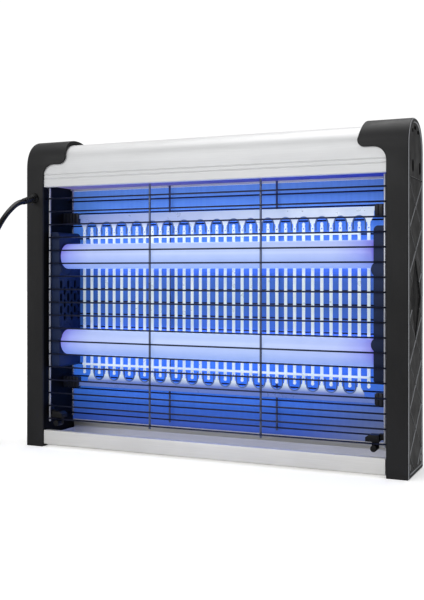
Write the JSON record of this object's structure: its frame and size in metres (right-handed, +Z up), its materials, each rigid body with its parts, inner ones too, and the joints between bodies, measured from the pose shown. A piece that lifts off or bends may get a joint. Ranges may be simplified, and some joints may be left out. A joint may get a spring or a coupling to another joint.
{
  "type": "electric bug zapper",
  "caption": "Upright electric insect killer: rounded metal top, plastic end caps, wire guards, ultraviolet tubes, high-voltage combs, slide-out tray and mains lead.",
  "frame": {"origin": "middle of the footprint, on the surface that the end caps stand on", "axes": "+X along the tubes to the right, +Y to the back, +Z up"},
  "size_m": [0.525, 0.1342, 0.319],
  "materials": {
    "cap_plastic": "charcoal black moulded plastic, fine satin texture",
    "housing_aluminium": "satin silver extrusion with faint lengthwise lines",
    "tray_aluminium": "satin silver extrusion",
    "sheet_metal": "thin satin reflector sheet",
    "guard_wire": "dark plated wire",
    "comb_metal": "bright stamped sheet",
    "tube_glass": "lit ultraviolet tube, lavender white with violet ends",
    "tube_cap_metal": "pressed lamp cap with two pins",
    "inner_plastic": "dark navy black moulded plastic",
    "insulator_plastic": "gloss black insulator",
    "screw_steel": "plated screw",
    "ballast_enamel": "white enamel case",
    "potting_resin": "black potted block",
    "circuit_board": "green laminate",
    "terminal_plastic": "white terminal block",
    "cord_rubber": "black flexible mains lead, slight sheen",
    "plug_plastic": "black moulded plug",
    "pin_brass": "nickel-washed brass pins"
  },
  "bodies": {
    "frame": {"back_guard": "guard_wire", "ballast": "ballast_enamel", "base_channel": "tray_aluminium", "circuit_board": "circuit_board", "cord_coil": "cord_rubber", "cord_strain_relief": "cord_rubber", "cord_tail": "cord_rubber", "cord_tie": "cord_rubber", "grid_comb_lower": "comb_metal", "grid_comb_upper": "comb_metal", "hv_transformer": "potting_resin", "left_cap_screw_back": "screw_steel", "left_cap_screw_front": "screw_steel", "left_end_cap": "cap_plastic", "left_guard_clip": "insulator_plastic", "left_inner_cover": "inner_plastic", "left_lamp_column": "inner_plastic", "left_lower_insulator": "insulator_plastic", "left_upper_insulator": "insulator_plastic", "lower_lamp_holder_left": "inner_plastic", "lower_lamp_holder_right": "inner_plastic", "plug_body": "plug_plastic", "plug_pin_left": "pin_brass", "plug_pin_right": "pin_brass", "power_cord": "cord_rubber", "rear_reflector": "sheet_metal", "right_cap_screw_back": "screw_steel", "right_cap_screw_front": "screw_steel", "right_end_cap": "cap_plastic", "right_guard_clip": "insulator_plastic", "right_inner_cover": "inner_plastic", "right_lamp_column": "inner_plastic", "right_lower_insulator": "insulator_plastic", "right_upper_insulator": "insulator_plastic", "terminal_block": "terminal_plastic", "top_housing": "housing_aluminium", "underside_plate": "sheet_metal", "upper_lamp_holder_left": "inner_plastic", "upper_lamp_holder_right": "inner_plastic"},
    "tray": {"collection_tray": "tray_aluminium"},
    "guard": {"front_guard": "guard_wire"},
    "upper_tube": {"uv_tube_upper": "tube_glass", "upper_tube_cap_left": "tube_cap_metal", "upper_tube_cap_right": "tube_cap_metal"},
    "lower_tube": {"uv_tube_lower": "tube_glass", "lower_tube_cap_left": "tube_cap_metal", "lower_tube_cap_right": "tube_cap_metal"}
  },
  "joints": [
    {"name": "tray_slide", "type": "slide", "parent": "frame", "child": "tray", "axis": [0, -1, 0], "range_m": [0, 0.06]},
    {"name": "guard_hinge", "type": "hinge", "parent": "frame", "child": "guard", "pos_m": [0, -0.0228, 0.25722], "axis": [-1, 0, 0], "range_deg": [0, 80]},
    {"name": "upper_tube_twist", "type": "hinge", "parent": "frame", "child": "upper_tube", "pos_m": [0, -0.007, 0.1973], "axis": [1, 0, 0], "range_deg": [0, 90]},
    {"name": "lower_tube_twist", "type": "hinge", "parent": "frame", "child": "lower_tube", "pos_m": [0, -0.007, 0.1078], "axis": [1, 0, 0], "range_deg": [0, 90]}
  ]
}
